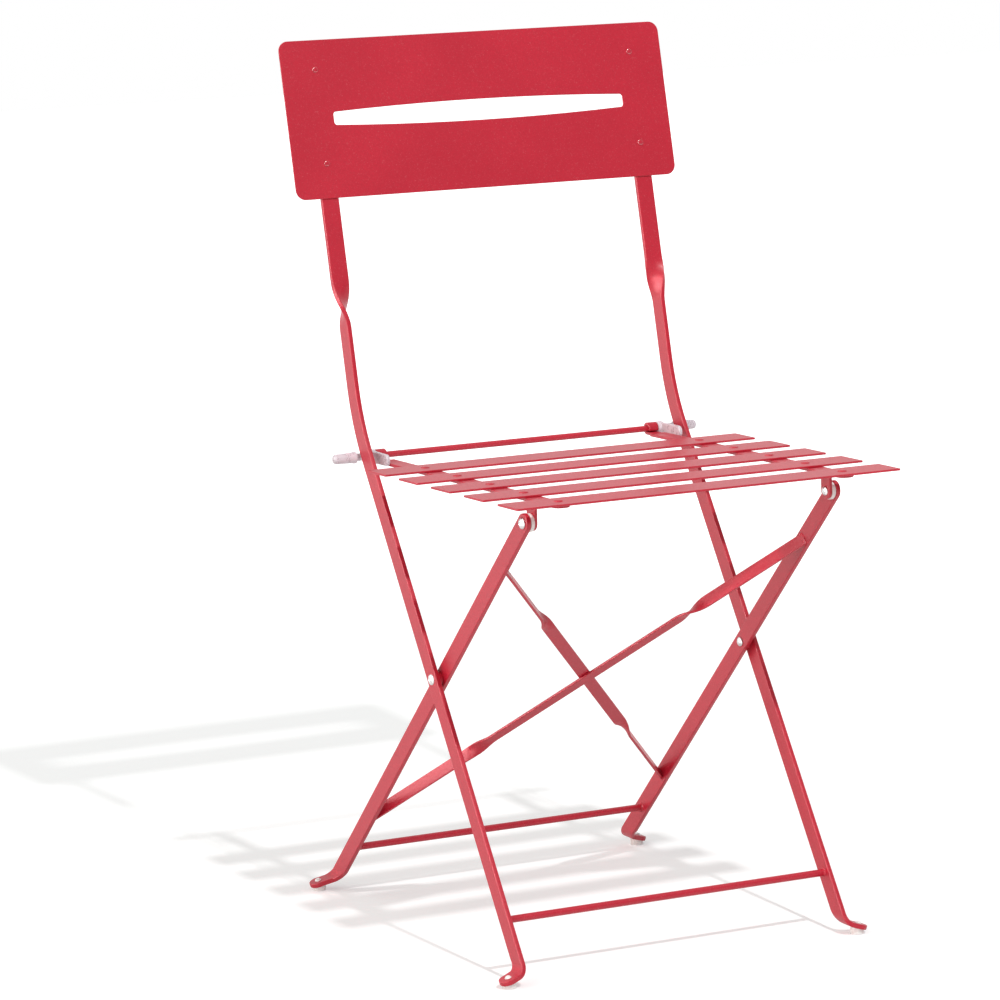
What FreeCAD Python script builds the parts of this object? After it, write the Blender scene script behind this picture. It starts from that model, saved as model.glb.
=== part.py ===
import FreeCAD, Part
import math
import os

from FreeCAD import Placement, Rotation, Vector

# A folding bistro chair of flat steel bar. Two long bars are the front legs and
# the back posts in one piece, two short bars are the rear legs, and the slatted
# seat hinges on the short legs and bears on the posts with a cross rod.
# +Z is up, the sitter faces -Y, and the floor is Z = 0 under the middle.

SIZES = [
    # side view: pivots, legs and posts
    ("middle_pivot_height", 254.0, "middle pivot above the floor"),
    ("long_leg_angle", 34.3, "front leg from the vertical, degrees"),
    ("short_leg_angle", 44.0, "rear leg from the vertical, degrees"),
    ("front_pivot_distance", 240.0, "middle pivot to seat pivot, along the rear leg"),
    ("corner_distance", 267.0, "middle pivot to the corner of the long bar's bend"),
    ("bend_radius", 200.0, "bend of the long bar, at its centre line"),
    ("post_lean_angle", 13.8, "back post from the vertical, degrees"),
    ("post_length", 352.0, "corner of the bend to the top of the post"),
    ("twist_distance", 116.0, "corner of the bend to the middle of the post's twist"),
    ("twist_length", 48.0, "quarter twist of the post, end to end"),
    # flat bar and where it stands sideways
    ("bar_width", 18.0, "leg bar, wide face"),
    ("bar_thickness", 4.5, "leg bar, thin edge"),
    ("long_leg_side", 171.6, "middle plane to the long bar's centre"),
    ("leg_gap", 4.4, "long bar to short bar, face to face"),
    # feet
    ("foot_fold_radius", 8.5, "inner radius where a leg folds out into its foot"),
    ("foot_slope_angle", 17.0, "foot tab below the level, degrees"),
    ("front_glide_reach", 14.4, "long bar's centre to its glide, at the tab's underside"),
    ("rear_glide_reach", 16.4, "short bar's centre to its glide, at the tab's underside"),
    ("glide_height", 5.5, "floor to the tab's underside, at the glide"),
    ("glide_diameter", 13.0, "glide under the foot"),
    ("glide_stem", 5.0, "glide's stem through the foot"),
    ("glide_cap", 6.5, "glide's button on top of the foot"),
    ("glide_cap_tip", 3.6, "top of the glide's button"),
    ("glide_cap_height", 1.8, "glide's button on top of the foot"),
    # backrest
    ("panel_overhang", 35.65, "backrest panel beyond the long bar's centre"),
    ("panel_height", 152.5, "backrest panel along the posts"),
    ("panel_thickness", 1.5, "backrest panel sheet"),
    ("panel_corner", 10.0, "backrest panel corner radius"),
    ("panel_start", 216.5, "corner of the bend to the panel's lower edge"),
    ("slot_length", 316.0, "backrest slot across"),
    ("slot_end_height", 12.5, "backrest slot at its ends"),
    ("slot_middle_height", 20.5, "backrest slot at its middle"),
    ("slot_corner", 3.0, "backrest slot corner radius"),
    ("back_rivet_top", 28.5, "upper rivets below the panel's top edge"),
    ("back_rivet_bottom", 33.5, "lower rivets above the panel's lower edge"),
    ("back_rivet_head", 6.0, "backrest rivet head"),
    ("back_rivet_shank", 3.2, "backrest rivet shank"),
    # rods and braces
    ("stretcher_diameter", 6.8, "round rods between the legs"),
    ("front_stretcher_height", 54.0, "front rod above the floor"),
    ("rear_stretcher_height", 49.5, "rear rod above the floor"),
    ("brace_width", 12.0, "brace bar, wide face"),
    ("brace_thickness", 2.5, "brace bar, thin edge"),
    ("brace_lower", 227.0, "brace end below the middle pivot, along the leg"),
    ("rising_brace_upper", 166.0, "rising brace's end above the middle pivot"),
    ("falling_brace_upper", 172.5, "falling brace's end above the middle pivot"),
    ("brace_twist_side", 80.0, "middle plane to the middle of a brace's twist"),
    ("brace_twist_length", 36.0, "quarter twist of a brace, end to end"),
    # pivots
    ("pivot_shank", 7.0, "pivot rivet shank"),
    ("pivot_head", 10.5, "pivot rivet head, outer side"),
    ("pivot_tail", 9.0, "pivot rivet head, inner side"),
    ("pivot_head_height", 2.2, "pivot rivet heads"),
    ("pivot_fit", 0.06, "radial play of a pivot rivet in its holes"),
    ("pivot_play", 0.35, "side play at a pivot, per face"),
    ("middle_washer", 14.0, "middle pivot washers across"),
    ("seat_washer", 17.0, "seat pivot washers across"),
    # seat
    ("seat_rise", 23.36, "top of the seat above its pivot, 450 above the floor"),
    ("seat_slope", 1.5, "seat falling to the rear, degrees"),
    ("slat_overhang", 51.65, "seat slat beyond the seat rail's centre"),
    ("slat_width", 38.5, "seat slat, fore and aft"),
    ("slat_pitch", 65.0, "slat to slat"),
    ("slat_thickness", 2.0, "seat slat"),
    ("slat_corner", 1.5, "seat slat corner radius"),
    ("slat_front", 57.5, "front slat's edge before the seat pivot"),
    ("rail_clearance", 3.35, "seat rail's edge from the short bar"),
    ("rail_width", 17.0, "seat rail, wide face"),
    ("rail_thickness", 3.0, "seat rail"),
    ("rail_front_inset", 7.5, "rail's rounded end behind the front slat's edge"),
    ("slat_rivet_head", 8.5, "slat rivet head"),
    ("slat_rivet_shank", 4.0, "slat rivet shank"),
    ("rivet_head_height", 1.2, "slat and backrest rivet heads"),
    ("rivet_fit", 0.03, "radial play of a fixed rivet in its holes"),
    ("bracket_width", 15.5, "hanging bracket, fore and aft"),
    ("bracket_thickness", 3.0, "hanging bracket plate"),
    ("bracket_inset", 0.6, "hanging bracket's face inside the rail's edge"),
    # rear cross rod and its clear plastic
    ("rod_diameter", 6.0, "rear cross rod"),
    ("rod_fit", 0.05, "radial play of the rod in its rolled eyes and plastic"),
    ("rod_stand_off", 5.7, "rod clear of the long bar's rear edge"),
    ("rod_overhang", 22.9, "rod's end beyond the long bar's centre"),
    ("eye_roll_angle", 290.0, "how far a rail is rolled round the rod, degrees"),
    ("eye_inner_inset", 3.5, "rolled eye in from the rail's inner edge"),
    ("eye_outer_inset", 3.0, "rolled eye in from the rail's outer edge"),
    ("eye_shoulder", 13.0, "rod to where the rail is cut narrower"),
    ("sleeve_diameter", 11.5, "clear sleeve on the rod's end, next to the long bar"),
    ("sleeve_tip", 9.2, "clear sleeve at its outer end"),
    ("sleeve_nose", 2.2, "rounding of the clear sleeve's outer end"),
    ("sleeve_neck", 7.3, "thin part of the clear sleeve behind the long bar"),
    ("sleeve_end_wall", 4.0, "clear sleeve beyond the rod's end"),
    ("sleeve_play", 0.9, "clear sleeve from the long bar's outer face"),
    ("cheek_thickness", 3.6, "clear cheek beside the rail"),
    ("cheek_height", 11.0, "clear cheek"),
    ("cheek_reach", 35.0, "clear cheek before the rod"),
    ("cheek_play", 0.6, "clear cheek from the rail"),
    ("cheek_hub", 12.5, "clear cheek where it is threaded on the rod"),
    ("hub_play", 0.3, "clear cheek's hub from the rolled eye and from the sleeve"),
]

# Lengths and places that follow from the sizes. "Run" is along Y and "rise"
# along Z, both from the middle pivot.
LAYOUT = [
    ("short_leg_side", "Sizes.long_leg_side - Sizes.bar_thickness - Sizes.leg_gap"),
    ("rail_side", "short_leg_side - Sizes.bar_thickness / 2"
                  " - Sizes.rail_clearance - Sizes.rail_width / 2"),
    ("bracket_side", "rail_side + Sizes.rail_width / 2"
                     " - Sizes.bracket_inset - Sizes.bracket_thickness / 2"),
    ("slat_length", "2 * (rail_side + Sizes.slat_overhang)"),
    ("panel_width", "2 * (Sizes.long_leg_side + Sizes.panel_overhang)"),
    ("rod_reach", "Sizes.long_leg_side + Sizes.rod_overhang"),
    ("fold_middle", "Sizes.foot_fold_radius + Sizes.bar_thickness / 2"),
    ("fold_outer", "Sizes.foot_fold_radius + Sizes.bar_thickness"),
    ("slope_down", "sin(Sizes.foot_slope_angle * 1 deg)"),
    ("slope_level", "cos(Sizes.foot_slope_angle * 1 deg)"),
    ("front_tab_flat", "(Sizes.front_glide_reach - fold_middle + fold_outer * slope_down)"
                       " / slope_level"),
    ("rear_tab_flat", "(Sizes.rear_glide_reach - fold_middle + fold_outer * slope_down)"
                      " / slope_level"),
    ("front_foot_cut", "Sizes.glide_height + fold_outer * slope_level"
                       " + front_tab_flat * slope_down"),
    ("rear_foot_cut", "Sizes.glide_height + fold_outer * slope_level"
                      " + rear_tab_flat * slope_down"),
    ("front_foot_run", "(Sizes.middle_pivot_height - front_foot_cut)"
                       " * tan(Sizes.long_leg_angle * 1 deg)"),
    ("rear_foot_run", "(Sizes.middle_pivot_height - rear_foot_cut)"
                      " * tan(Sizes.short_leg_angle * 1 deg)"),
    ("front_pivot_run", "Sizes.front_pivot_distance * sin(Sizes.short_leg_angle * 1 deg)"),
    ("front_pivot_height", "Sizes.middle_pivot_height + Sizes.front_pivot_distance"
                           " * cos(Sizes.short_leg_angle * 1 deg)"),
    ("seat_top", "Sizes.seat_rise * cos(Sizes.seat_slope * 1 deg)"),
    ("rail_top", "seat_top - Sizes.slat_thickness"),
    ("front_reach", "front_pivot_run + Sizes.slat_front * cos(Sizes.seat_slope * 1 deg)"
                    " - rail_top * sin(Sizes.seat_slope * 1 deg)"),
    ("front_glide_run", "(Sizes.middle_pivot_height - Sizes.glide_height)"
                        " * tan(Sizes.long_leg_angle * 1 deg)"),
    ("rear_glide_run", "(Sizes.middle_pivot_height - Sizes.glide_height)"
                       " * tan(Sizes.short_leg_angle * 1 deg)"),
    ("rear_reach", "rear_glide_run + Sizes.bar_width / 2"),
    ("middle_pivot_y", "(front_reach - rear_reach) / 2"),
    ("front_pivot_y", "middle_pivot_y - front_pivot_run"),
    ("rod_above", "rail_top + Sizes.rod_diameter / 2 + Sizes.rod_fit"),
    ("rod_from_post", "Sizes.bar_width / 2 + Sizes.rod_stand_off + Sizes.rod_diameter / 2"),
    ("rod_behind", "(rod_from_post"
                   " + Sizes.front_pivot_distance"
                   " * sin((Sizes.short_leg_angle + Sizes.long_leg_angle) * 1 deg)"
                   " + rod_above * sin((Sizes.long_leg_angle - Sizes.seat_slope) * 1 deg))"
                   " / cos((Sizes.long_leg_angle - Sizes.seat_slope) * 1 deg)"),
    ("rod_y", "front_pivot_y + rod_behind * cos(Sizes.seat_slope * 1 deg)"
              " + rod_above * sin(Sizes.seat_slope * 1 deg)"),
    ("rod_height", "front_pivot_height - rod_behind * sin(Sizes.seat_slope * 1 deg)"
                   " + rod_above * cos(Sizes.seat_slope * 1 deg)"),
    ("corner_y", "middle_pivot_y + Sizes.corner_distance * sin(Sizes.long_leg_angle * 1 deg)"),
    ("corner_height", "Sizes.middle_pivot_height"
                      " + Sizes.corner_distance * cos(Sizes.long_leg_angle * 1 deg)"),
]

SIDES = {"left": -1, "right": 1}
SLAT_COUNT = 5
TWIST_STEPS = 8
FOLD_STEPS = 6
NODES = []

doc = FreeCAD.newDocument("bistro_chair")


def fill_sheet(name, rows, first_column):
    """Make a spreadsheet with one alias to a row."""
    page = doc.addObject("Spreadsheet::Sheet", name)
    for line, row in enumerate(rows, start=1):
        page.set("A%d" % line, row[0].replace("_", " "))
        page.set("B%d" % line, first_column(row))
        page.setAlias("B%d" % line, row[0])
        if len(row) > 2:
            page.set("C%d" % line, row[2])
    doc.recompute()
    return page


sizes = fill_sheet("Sizes", SIZES, lambda row: str(row[1]))
layout = fill_sheet("Layout", LAYOUT, lambda row: "=" + row[1])


def size(alias):
    """A driving dimension."""
    return float(sizes.get(alias))


def place(alias):
    """A length or place that follows from the sizes."""
    return float(layout.get(alias))


def bind(thing, formulas):
    """Tie properties of an object to the sheets."""
    for path, formula in formulas.items():
        thing.setExpression(path, formula)
    return thing


def keep(thing, name):
    """Mark an object as one piece of the chair."""
    thing.Label = name
    NODES.append(thing)
    return thing


def shaped(name, shape):
    """A piece whose twisted or folded form is worked out below."""
    thing = doc.addObject("Part::Feature", name + "_form")
    thing.Shape = shape
    return keep(thing, name)


def box(name, length, width, height, corner):
    """A box with each size and its lowest corner tied to the sheets."""
    thing = doc.addObject("Part::Box", name)
    return bind(thing, {
        "Length": length,
        "Width": width,
        "Height": height,
        "Placement.Base.x": corner[0],
        "Placement.Base.y": corner[1],
        "Placement.Base.z": corner[2],
    })


def cylinder(name, axis, radius, height, start):
    """A cylinder along an axis, tied to the sheets."""
    thing = doc.addObject("Part::Cylinder", name)
    thing.Placement = Placement(Vector(), Rotation(Vector(0, 0, 1), axis))
    return bind(thing, {
        "Radius": radius,
        "Height": height,
        "Placement.Base.x": start[0],
        "Placement.Base.y": start[1],
        "Placement.Base.z": start[2],
    })


def cone(name, axis, radius, far_radius, height, start):
    """A tapered cylinder along an axis, tied to the sheets."""
    thing = doc.addObject("Part::Cone", name)
    thing.Placement = Placement(Vector(), Rotation(Vector(0, 0, 1), axis))
    return bind(thing, {
        "Radius1": radius,
        "Radius2": far_radius,
        "Height": height,
        "Placement.Base.x": start[0],
        "Placement.Base.y": start[1],
        "Placement.Base.z": start[2],
    })


def fuse(name, shapes):
    """Join objects into one solid."""
    thing = doc.addObject("Part::MultiFuse", name)
    thing.Shapes = shapes
    thing.Refine = True
    return thing


def common(name, shapes):
    """What several objects share."""
    thing = doc.addObject("Part::MultiCommon", name)
    thing.Shapes = shapes
    return thing


def cut(name, base, tool):
    """One object less another."""
    thing = doc.addObject("Part::Cut", name)
    thing.Base = base
    thing.Tool = tool
    return thing


def group(name, shapes):
    """Like fasteners that share a node as separate solids."""
    thing = doc.addObject("Part::Compound", name)
    thing.Links = shapes
    return thing


def round_edges(name, base, radius, wanted):
    """Round the edges that a test picks out."""
    doc.recompute()
    thing = doc.addObject("Part::Fillet", name)
    thing.Base = base
    picked = [number for number, edge in enumerate(base.Shape.Edges, start=1) if wanted(edge)]
    thing.Edges = [(number, radius, radius) for number in picked]
    return thing


def along(edge, axis):
    """Whether an edge is straight and runs along an axis."""
    if not isinstance(edge.Curve, Part.Line):
        return False
    return abs(abs(edge.tangentAt(edge.FirstParameter).dot(axis)) - 1) < 1e-6


def on_seat(thing):
    """Put a piece drawn on the seat at the seat pivot, with the seat's slope."""
    thing.Placement = Placement(Vector(), Rotation(Vector(1, 0, 0), -size("seat_slope")))
    return bind(thing, {
        "Placement.Base.y": "Layout.front_pivot_y",
        "Placement.Base.z": "Layout.front_pivot_height",
        "Placement.Rotation.Angle": "Sizes.seat_slope * 1 deg",
        "Placement.Rotation.Axis.x": "-1",
    })


def on_posts(thing):
    """Put a piece drawn upright against the posts, leaning with them."""
    thing.Placement = Placement(Vector(), Rotation(Vector(1, 0, 0), -size("post_lean_angle")))
    return bind(thing, {
        "Placement.Base.y": "Layout.corner_y",
        "Placement.Base.z": "Layout.corner_height",
        "Placement.Rotation.Angle": "Sizes.post_lean_angle * 1 deg",
        "Placement.Rotation.Axis.x": "-1",
    })


# Directions in the side view, as (run, rise).
def leaning(angle):
    """Unit vector that leans back from the vertical by an angle in degrees."""
    turn = math.radians(angle)
    return Vector(0, math.sin(turn), math.cos(turn))


def behind(direction):
    """Unit vector square to a leaning one, pointing to the rear."""
    return Vector(0, direction.z, -direction.y)


MIDDLE = Vector(0, place("middle_pivot_y"), size("middle_pivot_height"))
FRONT = Vector(0, place("front_pivot_y"), place("front_pivot_height"))
LEG = leaning(size("long_leg_angle"))
POST = leaning(size("post_lean_angle"))
SHORT = leaning(-size("short_leg_angle"))
CORNER = MIDDLE + LEG * size("corner_distance")


def solid_of(shape):
    """The single solid of a cleaned shape."""
    cleaned = shape.removeSplitter()
    return cleaned.Solids[0] if len(cleaned.Solids) == 1 else cleaned


def hole_across(centre, radius):
    """A cutter along X through a bar."""
    reach = size("long_leg_side") + size("bar_width")
    return Part.makeCylinder(radius, 2 * reach, centre - Vector(reach, 0, 0), Vector(1, 0, 0))


def foot(side, leg_side, run, centre_y, end, glide_y):
    """The end of a leg, folded outwards into a sloping tab with a hole for its glide.

    The fold starts from the leg's level cut, whose fore and aft length is run and
    whose middle is at centre_y. It follows the leg's lean as it turns. end is
    "front" or "rear".
    """
    thick = size("bar_thickness")
    width = size("bar_width")
    radius = place("fold_middle")
    flat = place(end + "_tab_flat")
    outwards = Vector(side * place("slope_level"), 0, -place("slope_down"))
    upwards = Vector(side * place("slope_down"), 0, place("slope_level"))
    hinge = Vector(side * (leg_side + radius), centre_y, place(end + "_foot_cut"))
    lean = (glide_y - centre_y) / (radius * place("slope_level") + flat * place("slope_down"))
    sections = []
    for step in range(FOLD_STEPS + 1):
        turn = math.radians(90 - size("foot_slope_angle")) * step / FOLD_STEPS
        spoke = Vector(-side * math.cos(turn), 0, -math.sin(turn))
        middle = hinge + spoke * radius
        middle.y += lean * radius * math.sin(turn)
        wide = run + (width - run) * step / FOLD_STEPS
        sections.append(bar_section(middle, Vector(0, 1, 0), spoke, wide, thick))
    bend = Part.makeLoft(sections, True, False)
    spot = Vector(side * (leg_side + size(end + "_glide_reach")), glide_y, size("glide_height"))
    inner = spot - outwards * flat
    inner.y = centre_y + lean * radius * place("slope_level")
    aside = Vector(0, width / 2, 0)
    tongue = Part.Wire([
        Part.makeLine(inner - aside, spot - aside),
        Part.Arc(spot - aside, spot + outwards * (width / 2), spot + aside).toShape(),
        Part.makeLine(spot + aside, inner + aside),
        Part.makeLine(inner + aside, inner - aside),
    ])
    tab = Part.Face(tongue).extrude(upwards * thick)
    bore = Part.makeCylinder(
        size("glide_stem") / 2 + size("rivet_fit"), 3 * thick, spot - upwards * thick, upwards)
    return bend.fuse(tab).cut(bore)


def strip(points, side, leg_side):
    """A flat bar standing on edge, from its outline in the side view."""
    thick = size("bar_thickness")
    wire = Part.Wire(points)
    wire.translate(Vector(side * leg_side - thick / 2, 0, 0))
    return Part.Face(wire).extrude(Vector(thick, 0, 0))


def bar_section(centre, across, through, width, thick):
    """The outline of a flat bar at one place: across is its wide direction."""
    a = across * (width / 2)
    b = through * (thick / 2)
    corners = [centre - a - b, centre + a - b, centre + a + b, centre - a + b, centre - a - b]
    return Part.makePolygon(corners)


def twisted(start, axis, length, across, turn, width, thick):
    """A quarter twist of flat bar. across turns about axis by turn degrees."""
    sections = []
    for step in range(TWIST_STEPS + 1):
        share = step / TWIST_STEPS
        eased = share * share * (3 - 2 * share)
        spin = Rotation(axis, turn * eased)
        wide = spin.multVec(across)
        sections.append(bar_section(start + axis * (length * share), wide, axis.cross(wide),
                                    width, thick))
    return Part.makeLoft(sections, True, False)


def level_cut_points(foot_point, direction, half):
    """Where a leaning bar's two edges meet the level cut above its foot."""
    out = behind(direction)
    shift = half / out.y
    return foot_point - Vector(0, shift, 0), foot_point + Vector(0, shift, 0)


def long_bar(side):
    """Front leg and back post in one bar, with its bend, its twist and its foot."""
    half = size("bar_width") / 2
    thick = size("bar_thickness")
    foot_point = Vector(0, place("middle_pivot_y") - place("front_foot_run"),
                        place("front_foot_cut"))
    front_low, rear_low = level_cut_points(foot_point, LEG, half)
    turn = math.radians(size("long_leg_angle") - size("post_lean_angle"))
    tangent = size("bend_radius") * math.tan(turn / 2)
    bend_start = CORNER - LEG * tangent
    bend_end = CORNER + POST * tangent
    hub = bend_start - behind(LEG) * size("bend_radius")
    middle_way = leaning(size("long_leg_angle") - math.degrees(turn) / 2)
    twist_start = CORNER + POST * (size("twist_distance") - size("twist_length") / 2)

    def edge(point, direction, offset):
        return point + behind(direction) * offset

    def arc(offset):
        return Part.Arc(
            edge(bend_start, LEG, offset),
            hub + behind(middle_way) * (size("bend_radius") + offset),
            edge(bend_end, POST, offset)).toShape()

    outline = [
        Part.makeLine(front_low, edge(bend_start, LEG, -half)),
        arc(-half),
        Part.makeLine(edge(bend_end, POST, -half), edge(twist_start, POST, -half)),
        Part.makeLine(edge(twist_start, POST, -half), edge(twist_start, POST, half)),
        Part.makeLine(edge(twist_start, POST, half), edge(bend_end, POST, half)),
        arc(half),
        Part.makeLine(edge(bend_start, LEG, half), rear_low),
        Part.makeLine(rear_low, front_low),
    ]
    across = Vector(side * size("long_leg_side"), 0, 0)
    leg = strip(Part.__sortEdges__(outline), side, size("long_leg_side"))
    twist = twisted(twist_start + across, POST, size("twist_length"), behind(POST),
                    90 * side, size("bar_width"), thick)
    twist_end = CORNER + POST * (size("twist_distance") + size("twist_length") / 2) + across
    post = Part.Face(bar_section(twist_end, Vector(1, 0, 0), behind(POST),
                                 size("bar_width"), thick))
    rest = size("post_length") - size("twist_distance") - size("twist_length") / 2
    post = post.extrude(POST * rest)
    base = foot(side, size("long_leg_side"), (rear_low - front_low).Length, foot_point.y,
                "front", MIDDLE.y - place("front_glide_run"))
    whole = leg.fuse([twist, post, base])
    whole = whole.cut(hole_across(MIDDLE, size("pivot_shank") / 2 + size("pivot_fit")))
    for height in back_rivet_heights():
        centre = CORNER + POST * height + across - behind(POST) * half
        radius = size("back_rivet_shank") / 2 + size("rivet_fit")
        whole = whole.cut(Part.makeCylinder(radius, 2 * half, centre, behind(POST)))
    return solid_of(whole)


def back_rivet_heights():
    """Where the backrest rivets stand, along the posts from the corner."""
    low = size("panel_start") + size("back_rivet_bottom")
    high = size("panel_start") + size("panel_height") - size("back_rivet_top")
    return low, high


def short_bar(side):
    """Rear leg, from the seat pivot through the middle pivot to its foot."""
    half = size("bar_width") / 2
    foot_point = Vector(0, place("middle_pivot_y") + place("rear_foot_run"),
                        place("rear_foot_cut"))
    front_low, rear_low = level_cut_points(foot_point, SHORT, half)
    out = behind(SHORT) * half
    outline = [
        Part.makeLine(front_low, FRONT - out),
        Part.Arc(FRONT - out, FRONT + SHORT * half, FRONT + out).toShape(),
        Part.makeLine(FRONT + out, rear_low),
        Part.makeLine(rear_low, front_low),
    ]
    leg = strip(outline, side, place("short_leg_side"))
    base = foot(side, place("short_leg_side"), (rear_low - front_low).Length, foot_point.y,
                "rear", MIDDLE.y + place("rear_glide_run"))
    radius = size("pivot_shank") / 2 + size("pivot_fit")
    return solid_of(leg.fuse(base).cut([hole_across(MIDDLE, radius), hole_across(FRONT, radius)]))


def brace(rising, layer, upper):
    """A flat brace between the rear legs, on edge at both ends and flat between.

    rising is 1 where it climbs towards the right leg. layer moves it in front of
    or behind the other brace, so that they lie face to face where they cross.
    upper is the height of its high end above the middle pivot, along the leg.
    """
    inner = place("short_leg_side") - size("bar_thickness") / 2
    width = size("brace_width")
    thick = size("brace_thickness")
    square = -behind(SHORT)
    shift = MIDDLE + square * (layer * thick / 2)
    low = shift + Vector(-rising * inner, 0, 0) - SHORT * size("brace_lower")
    high = shift + Vector(rising * inner, 0, 0) + SHORT * upper
    axis = (high - low).normalize()
    across = axis.cross(square)
    steep = abs(axis.x)
    first = (inner - size("brace_twist_side")) / steep - size("brace_twist_length") / 2
    whole = (high - low).Length
    second = whole - first - size("brace_twist_length")
    spare = width + thick
    ends = [(-spare, first), (second + size("brace_twist_length"), whole + spare)]
    pieces = []
    for begin, end in ends:
        section = bar_section(low + axis * begin, square, across, width, thick)
        pieces.append(Part.Face(section).extrude(axis * (end - begin)))
    flat_start = first + size("brace_twist_length")
    section = bar_section(low + axis * flat_start, across, square, width, thick)
    pieces.append(Part.Face(section).extrude(axis * (second - flat_start)))
    pieces.append(twisted(low + axis * first, axis, size("brace_twist_length"), square,
                          90, width, thick))
    pieces.append(twisted(low + axis * second, axis, size("brace_twist_length"), across,
                          90, width, thick))
    joined = pieces[0].fuse(pieces[1:])
    room = Part.makeBox(2 * inner, 4 * size("brace_lower"), 4 * size("brace_lower"),
                        MIDDLE - Vector(inner, 2 * size("brace_lower"), 2 * size("brace_lower")))
    return solid_of(joined.common(room))


def rod_across(name, radius, reach, y, z):
    """A round rod from side to side."""
    return cylinder(name, Vector(1, 0, 0), radius, "2 * (%s)" % reach, ("-(%s)" % reach, y, z))


def make_backrest():
    """The panel: a leaning sheet with round corners, a lens slot and four rivet holes."""
    sheet = box("panel_sheet", "Layout.panel_width", "Sizes.panel_thickness",
                "Sizes.panel_height",
                ("-Layout.panel_width / 2", "-Sizes.bar_thickness / 2 - Sizes.panel_thickness",
                 "Sizes.panel_start"))
    cornered = round_edges("panel_corners", sheet, size("panel_corner"),
                           lambda edge: along(edge, Vector(0, 1, 0)))
    middle = "(Sizes.panel_start + Sizes.panel_height / 2)"
    bow = "((Sizes.slot_middle_height - Sizes.slot_end_height) / 2)"
    sweep = "(((Sizes.slot_length / 2) ^ 2 + %s ^ 2) / (2 * %s))" % (bow, bow)
    deep = "4 * (Sizes.bar_thickness + Sizes.panel_thickness)"
    front = "-%s / 2" % deep
    ends = box("slot_ends", "Sizes.slot_length", deep, "Sizes.slot_middle_height",
               ("-Sizes.slot_length / 2", front, middle + " - Sizes.slot_middle_height / 2"))
    upper = cylinder("slot_upper", Vector(0, 1, 0), sweep, deep,
                     ("0", front, "%s + Sizes.slot_middle_height / 2 - %s" % (middle, sweep)))
    lower = cylinder("slot_lower", Vector(0, 1, 0), sweep, deep,
                     ("0", front, "%s - Sizes.slot_middle_height / 2 + %s" % (middle, sweep)))
    lens = common("slot_lens", [ends, upper, lower])
    slot = round_edges("slot_corners", lens, size("slot_corner"),
                       lambda edge: along(edge, Vector(0, 1, 0)))
    holes = []
    for row, height in (("low", "Sizes.panel_start + Sizes.back_rivet_bottom"),
                        ("high", "Sizes.panel_start + Sizes.panel_height - Sizes.back_rivet_top")):
        for side, sign in SIDES.items():
            holes.append(cylinder("panel_hole_%s_%s" % (row, side), Vector(0, 1, 0),
                                  "Sizes.back_rivet_shank / 2 + Sizes.rivet_fit", deep,
                                  ("%d * Sizes.long_leg_side" % sign, front, height)))
    openings = group("panel_openings", [slot] + holes)
    keep(on_posts(cut("panel", cornered, openings)), "backrest_panel")


def make_back_rivets():
    """Four rivets through the panel and the posts, with a low head on each face."""
    through = "(Sizes.bar_thickness + Sizes.panel_thickness)"
    front = "(-Sizes.bar_thickness / 2 - Sizes.panel_thickness)"
    rivets = []
    for row, height in (("low", "Sizes.panel_start + Sizes.back_rivet_bottom"),
                        ("high", "Sizes.panel_start + Sizes.panel_height - Sizes.back_rivet_top")):
        for side, sign in SIDES.items():
            tag = "%s_%s" % (row, side)
            across = "%d * Sizes.long_leg_side" % sign
            shank = cylinder("back_shank_" + tag, Vector(0, 1, 0), "Sizes.back_rivet_shank / 2",
                             through, (across, front, height))
            face = cylinder("back_head_" + tag, Vector(0, 1, 0), "Sizes.back_rivet_head / 2",
                            "Sizes.rivet_head_height",
                            (across, front + " - Sizes.rivet_head_height", height))
            tail = cylinder("back_tail_" + tag, Vector(0, 1, 0), "Sizes.back_rivet_head / 2",
                            "Sizes.rivet_head_height", (across, "Sizes.bar_thickness / 2", height))
            rivets.append(fuse("back_rivet_" + tag, [shank, face, tail]))
    keep(on_posts(group("back_rivet_group", rivets)), "back_rivets")


def make_stretchers():
    """The round rods that tie the feet of each pair of legs."""
    keep(rod_across("front_rod", "Sizes.stretcher_diameter / 2",
                    "Sizes.long_leg_side - Sizes.bar_thickness / 2",
                    "Layout.middle_pivot_y - (Sizes.middle_pivot_height"
                    " - Sizes.front_stretcher_height) * tan(Sizes.long_leg_angle * 1 deg)",
                    "Sizes.front_stretcher_height"), "front_stretcher")
    keep(rod_across("back_rod", "Sizes.stretcher_diameter / 2",
                    "Layout.short_leg_side - Sizes.bar_thickness / 2",
                    "Layout.middle_pivot_y + (Sizes.middle_pivot_height"
                    " - Sizes.rear_stretcher_height) * tan(Sizes.short_leg_angle * 1 deg)",
                    "Sizes.rear_stretcher_height"), "rear_stretcher")


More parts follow.
